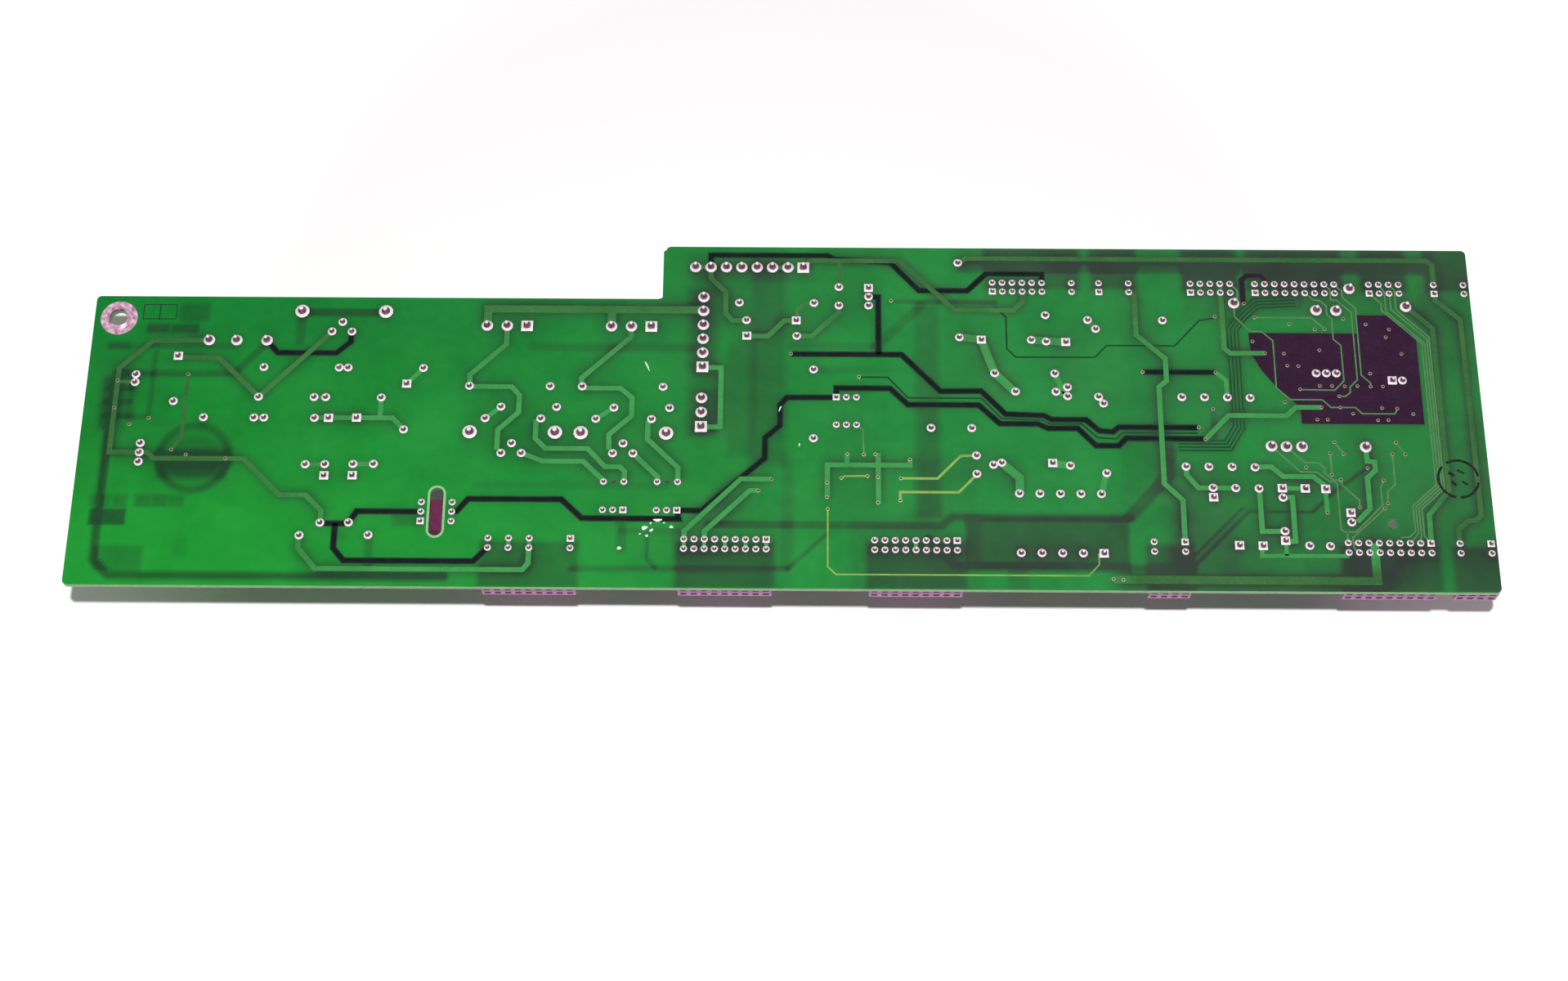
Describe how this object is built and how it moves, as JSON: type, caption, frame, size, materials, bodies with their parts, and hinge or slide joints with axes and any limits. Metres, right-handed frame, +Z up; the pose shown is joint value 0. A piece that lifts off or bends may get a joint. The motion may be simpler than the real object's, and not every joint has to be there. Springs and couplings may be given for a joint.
{
  "type": "interconnect board",
  "caption": "Long stepped circuit board, solder side up, with right-angle sockets along both edges and pin headers, power devices, a transformer and small parts underneath.",
  "frame": {"origin": "middle of the board's outline, at the level the part rests on", "axes": "+X along the board away from the plated hole, +Y towards the stepped rear edge, +Z up out of the solder side"},
  "size_m": [0.3518, 0.0944, 0.024],
  "materials": {
    "laminate": "satin green mask over woven glass",
    "solder": "bright reflowed solder",
    "masked_copper": "green mask over copper",
    "socket_plastic": "matte moulded",
    "tinned_wire": "bright tinned",
    "header_plastic": "matte moulded",
    "black_resin": "matte moulded",
    "device_metal": "satin plated",
    "capacitor_case": "satin moulded",
    "can_sleeve": "gloss sleeve",
    "ferrite": "matte sintered",
    "bobbin_plastic": "matte moulded",
    "winding_tape": "gloss tape",
    "resistor_coat": "gloss lacquer",
    "cement_coat": "matte coating"
  },
  "bodies": {
    "root": {"board": "laminate", "box_capacitors": "capacitor_case", "can_capacitors": "can_sleeve", "chip_bodies": "black_resin", "chip_legs": "tinned_wire", "choke": "ferrite", "controller": "black_resin", "crystal": "device_metal", "device_body_left": "black_resin", "device_body_right": "black_resin", "device_legs": "tinned_wire", "device_tab_left": "device_metal", "device_tab_right": "device_metal", "diodes": "black_resin", "far_plane": "masked_copper", "far_tracks": "masked_copper", "front_socket_1": "socket_plastic", "front_socket_2": "socket_plastic", "front_socket_3": "socket_plastic", "front_socket_4": "socket_plastic", "front_socket_5": "socket_plastic", "front_socket_6": "socket_plastic", "front_tails": "tinned_wire", "header_3": "header_plastic", "header_6": "header_plastic", "header_8": "header_plastic", "header_posts": "tinned_wire", "large_joints": "solder", "line_capacitor": "capacitor_case", "medium_joints": "solder", "mounting_ring": "solder", "power_resistors": "cement_coat", "rear_socket_1": "socket_plastic", "rear_socket_2": "socket_plastic", "rear_socket_3": "socket_plastic", "rear_socket_4": "socket_plastic", "rear_socket_5": "socket_plastic", "rear_socket_6": "socket_plastic", "rear_tails": "tinned_wire", "resistors": "resistor_coat", "small_joints": "solder", "solder_tracks": "masked_copper", "transformer_bobbin": "bobbin_plastic", "transformer_core": "ferrite", "transformer_winding": "winding_tape", "transistors": "black_resin"}
  },
  "joints": []
}
